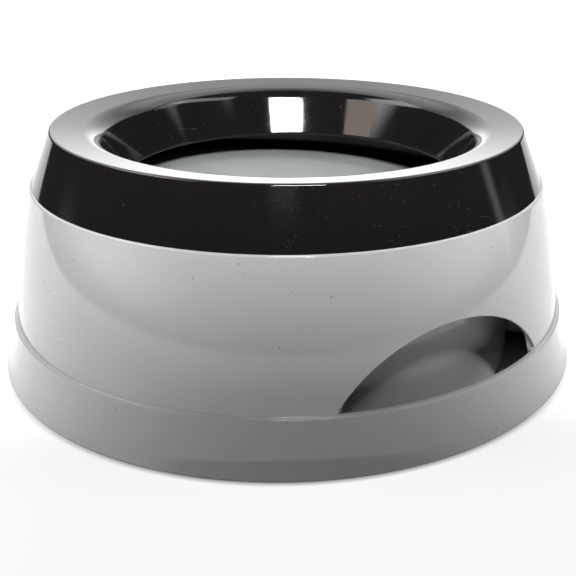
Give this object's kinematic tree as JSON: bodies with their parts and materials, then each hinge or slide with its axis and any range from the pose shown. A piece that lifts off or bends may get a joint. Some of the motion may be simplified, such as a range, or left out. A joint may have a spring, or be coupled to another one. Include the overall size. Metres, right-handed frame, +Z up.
{
  "type": "no spill dog water bowl",
  "caption": "Round water bowl for travel: a double-walled base with finger grips, a twist-on ring lid with a splash skirt, and a floating plate that covers the water.",
  "frame": {"origin": "centre of the underside, on the surface the bowl stands on", "axes": "+Z up through the mouth of the lid; the two finger grips face +X and -X"},
  "size_m": [0.27, 0.27, 0.1055],
  "materials": {
    "base_plastic": "injection-moulded light grey polypropylene, semi-gloss",
    "lid_plastic": "injection-moulded black plastic, high gloss",
    "float_plastic": "injection-moulded grey polypropylene, fine satin",
    "hook_tape": "self-adhesive hook tape, black nylon"
  },
  "bodies": {
    "base": {"base_bowl": "base_plastic", "grip_pad_1": "hook_tape", "grip_pad_2": "hook_tape", "grip_pad_3": "hook_tape", "grip_pad_4": "hook_tape"},
    "lid": {"lid_ring": "lid_plastic"},
    "float": {"float_plate": "float_plastic"}
  },
  "joints": [
    {"name": "lid_twist", "type": "hinge", "parent": "base", "child": "lid", "pos_m": [0, 0, 0.0822], "axis": [0, 0, 1], "range_deg": [0, 34]},
    {"name": "float_travel", "type": "slide", "parent": "base", "child": "float", "axis": [0, 0, 1], "range_m": [-0.0498, 0.0064]}
  ]
}
